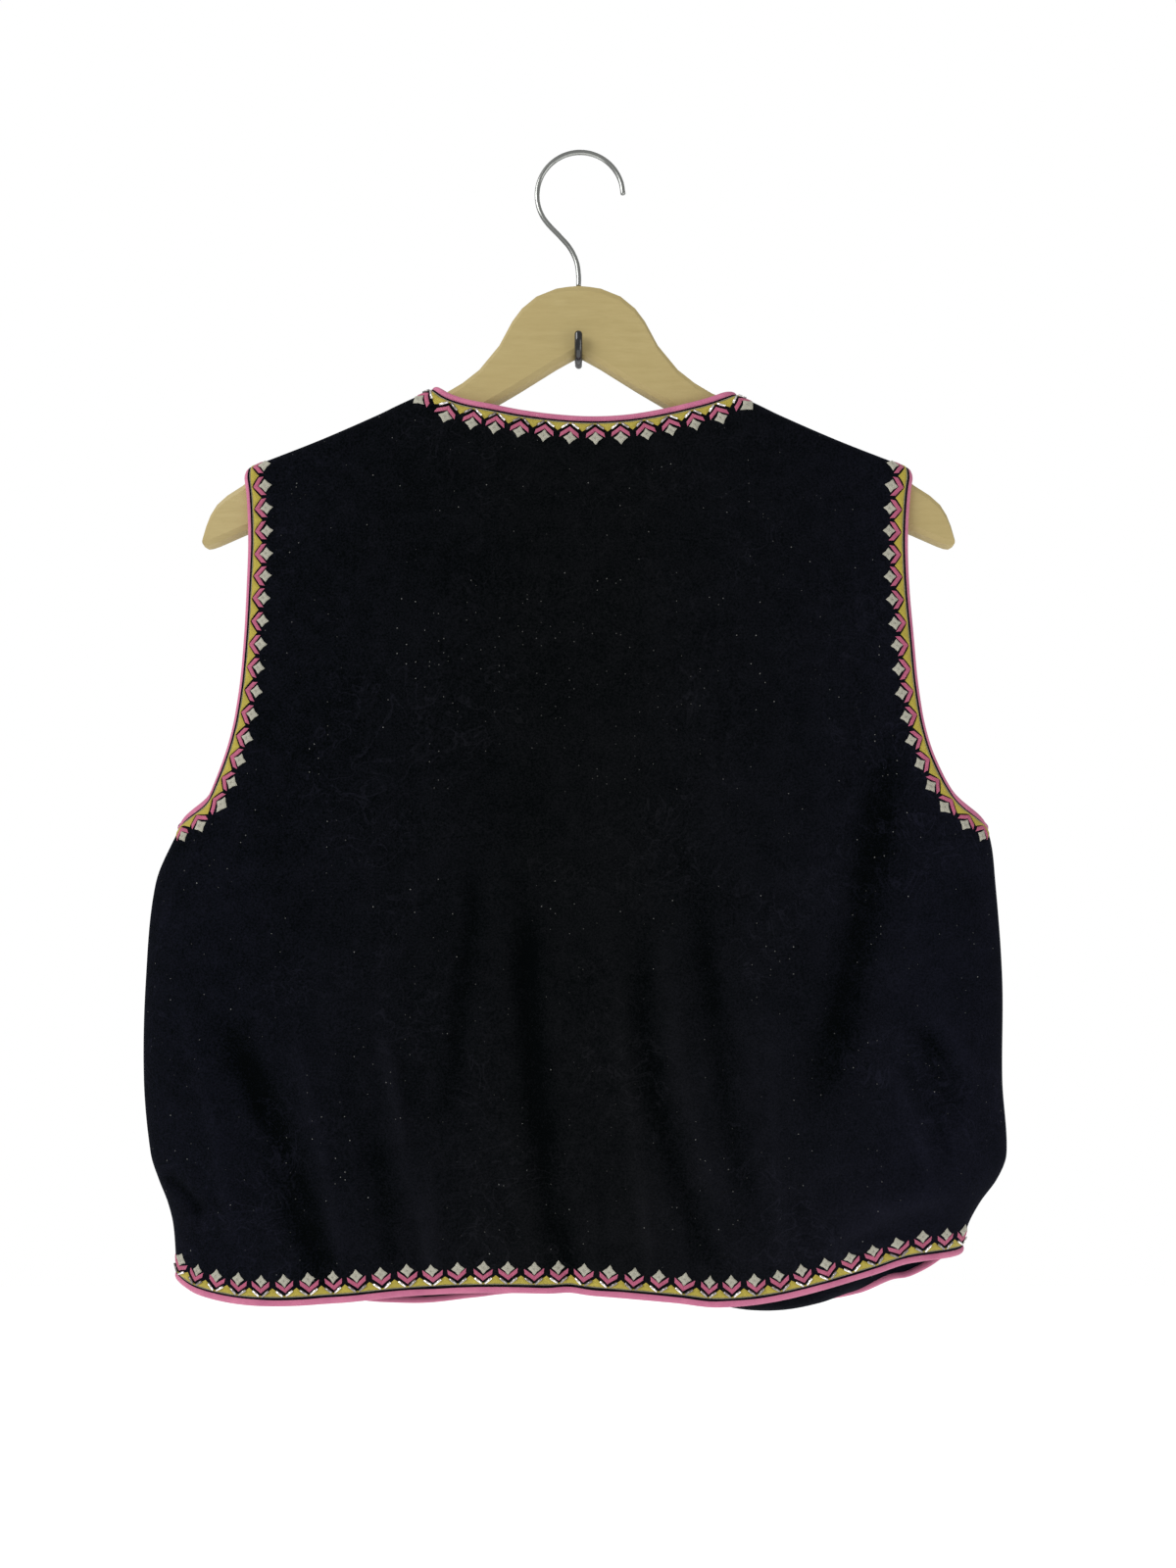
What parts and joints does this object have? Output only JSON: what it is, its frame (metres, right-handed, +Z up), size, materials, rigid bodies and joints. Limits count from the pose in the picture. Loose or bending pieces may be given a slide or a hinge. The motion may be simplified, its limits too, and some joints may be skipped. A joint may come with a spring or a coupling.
{
  "type": "folk vest on a wooden hanger and wall hook",
  "caption": "Sleeveless vest with bound edges, open front and open armholes, hung back outwards on a flat board hanger that rests on a wall hook.",
  "frame": {"origin": "middle of the wall plate's back face, on the wall", "axes": "+X to the right of someone who faces the wall, +Y into the wall, +Z up; the vest's back faces -Y"},
  "size_m": [0.5051, 0.0777, 0.6941],
  "materials": {
    "velvet": "black cotton velvet, matt with a soft sheen",
    "binding": "pink woven bias strip",
    "embroidery": "satin-stitched thread in off-white, pink and yellow",
    "bead": "silver-lined glass bugle beads",
    "wood": "pale wood, satin",
    "steel": "bright drawn wire, slightly tarnished",
    "black_gloss": "black gloss enamel"
  },
  "bodies": {
    "root": {"back": "velvet", "front_left": "velvet", "front_right": "velvet", "binding_neck": "binding", "binding_front_left": "binding", "binding_front_right": "binding", "binding_hem_back": "binding", "binding_hem_left": "binding", "binding_hem_right": "binding", "binding_armhole_left": "binding", "binding_armhole_right": "binding", "hanger_board": "wood", "hanger_hook": "steel", "wall_plate": "black_gloss", "wall_hook": "black_gloss"}
  },
  "joints": []
}
